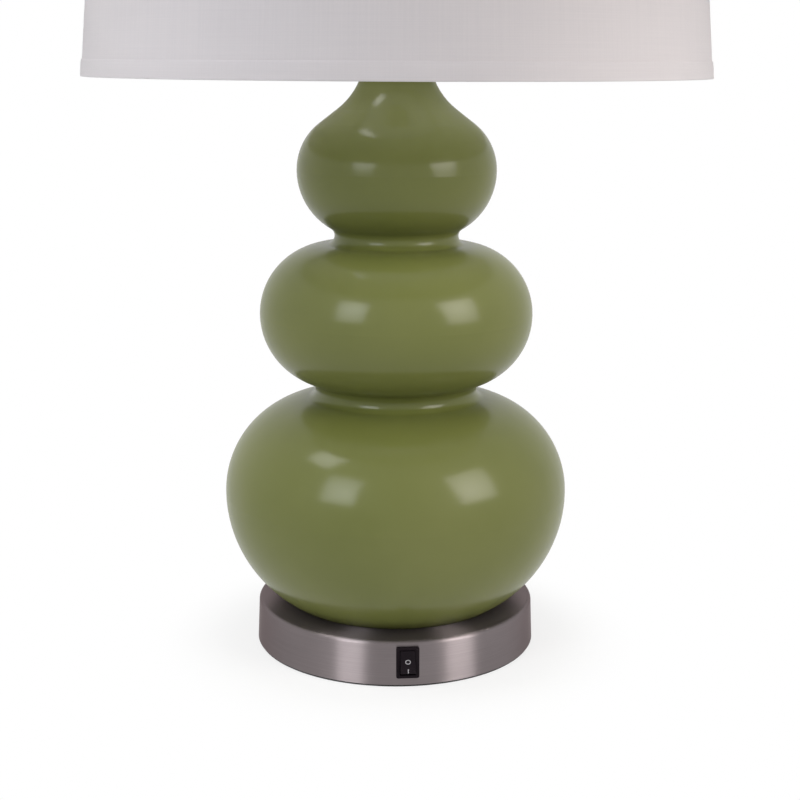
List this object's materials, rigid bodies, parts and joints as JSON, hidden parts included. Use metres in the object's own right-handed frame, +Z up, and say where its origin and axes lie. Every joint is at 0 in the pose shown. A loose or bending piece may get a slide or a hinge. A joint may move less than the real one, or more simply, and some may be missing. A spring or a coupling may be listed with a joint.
{
  "type": "table lamp",
  "caption": "Glazed ceramic table lamp of three stacked bulbs on a brushed-metal foot with a rocker switch, a harp and a tapered fabric drum shade.",
  "frame": {"origin": "centre of the foot's underside, on the lamp's axis", "axes": "+Z up along the lamp's axis, -Y towards the rocker switch at the front, +X to the right seen from the front"},
  "size_m": [0.4063, 0.4064, 0.6765],
  "materials": {
    "brushed_nickel": "brushed round the axis",
    "felt": "matt",
    "black_board": "satin",
    "zinc_steel": "zinc plated",
    "cast_weight": "rough cast",
    "brass_hardware": "turned",
    "seal_rubber": "matt",
    "green_glaze": "glossy",
    "harp_steel": "nickel plated",
    "socket_metal": "nickel plated",
    "fibre_liner": "matt",
    "socket_moulding": "moulded",
    "bulb_aluminium": "pressed",
    "opal_glass": "frosted inside",
    "black_glass": "glossy",
    "solder": "smooth",
    "shade_cloth": "plain weave",
    "shade_backing": "smooth",
    "hem_cloth": "plain weave",
    "white_wire": "powder coated",
    "switch_plastic": "satin",
    "rocker_plastic": "smooth"
  },
  "bodies": {
    "lamp": {"base_pan": "brushed_nickel", "base_felt": "felt", "base_cover": "black_board", "cover_screws": "zinc_steel", "cover_posts": "zinc_steel", "ballast": "cast_weight", "base_washer": "zinc_steel", "base_nut": "brass_hardware", "centre_tube": "zinc_steel", "seat_gasket": "seal_rubber", "ceramic_body": "green_glaze", "vase_cap": "brushed_nickel", "neck_nut": "brass_hardware", "neck_collar": "brushed_nickel", "harp_saddle": "harp_steel", "harp": "harp_steel", "socket_cap": "socket_metal", "socket_set_screw": "zinc_steel", "socket_shell": "socket_metal", "socket_liner": "fibre_liner", "socket_core": "socket_moulding", "socket_terminals": "brass_hardware", "socket_screw_shell": "bulb_aluminium", "socket_contact": "brass_hardware", "switch_housing": "switch_plastic", "switch_spades": "brass_hardware", "cord_bush": "switch_plastic"},
    "ferrule_left": {"harp_ferrule_left": "harp_steel"},
    "ferrule_right": {"harp_ferrule_right": "harp_steel"},
    "bulb": {"bulb_glass": "opal_glass", "bulb_cap": "bulb_aluminium", "bulb_insulator": "black_glass", "bulb_tip_contact": "solder"},
    "shade": {"harp_swivel": "harp_steel", "shade_spider": "white_wire", "shade_top_ring": "white_wire", "shade_bottom_ring": "white_wire", "shade_fabric": "shade_cloth", "shade_liner": "shade_backing", "shade_bottom_hem": "hem_cloth", "shade_top_hem": "hem_cloth"},
    "finial": {"finial": "brushed_nickel"},
    "rocker": {"switch_rocker": "rocker_plastic"}
  },
  "joints": [
    {"name": "switch_press", "type": "hinge", "parent": "lamp", "child": "rocker", "pos_m": [0, -0.09445, 0.01695], "axis": [1, 0, 0], "range_deg": [0, 20]},
    {"name": "ferrule_left_lift", "type": "slide", "parent": "lamp", "child": "ferrule_left", "axis": [0, 0, 1], "range_m": [0, 0.016]},
    {"name": "ferrule_right_lift", "type": "slide", "parent": "lamp", "child": "ferrule_right", "axis": [0, 0, 1], "range_m": [0, 0.016]},
    {"name": "bulb_lift", "type": "slide", "parent": "lamp", "child": "bulb", "axis": [0, 0, 1], "range_m": [0, 0.03]},
    {"name": "shade_turn", "type": "hinge", "parent": "lamp", "child": "shade", "pos_m": [0, 0, 0.6469], "axis": [0, 0, 1], "continuous": true},
    {"name": "finial_lift", "type": "slide", "parent": "shade", "child": "finial", "axis": [0, 0, 1], "range_m": [0, 0.0125]}
  ]
}
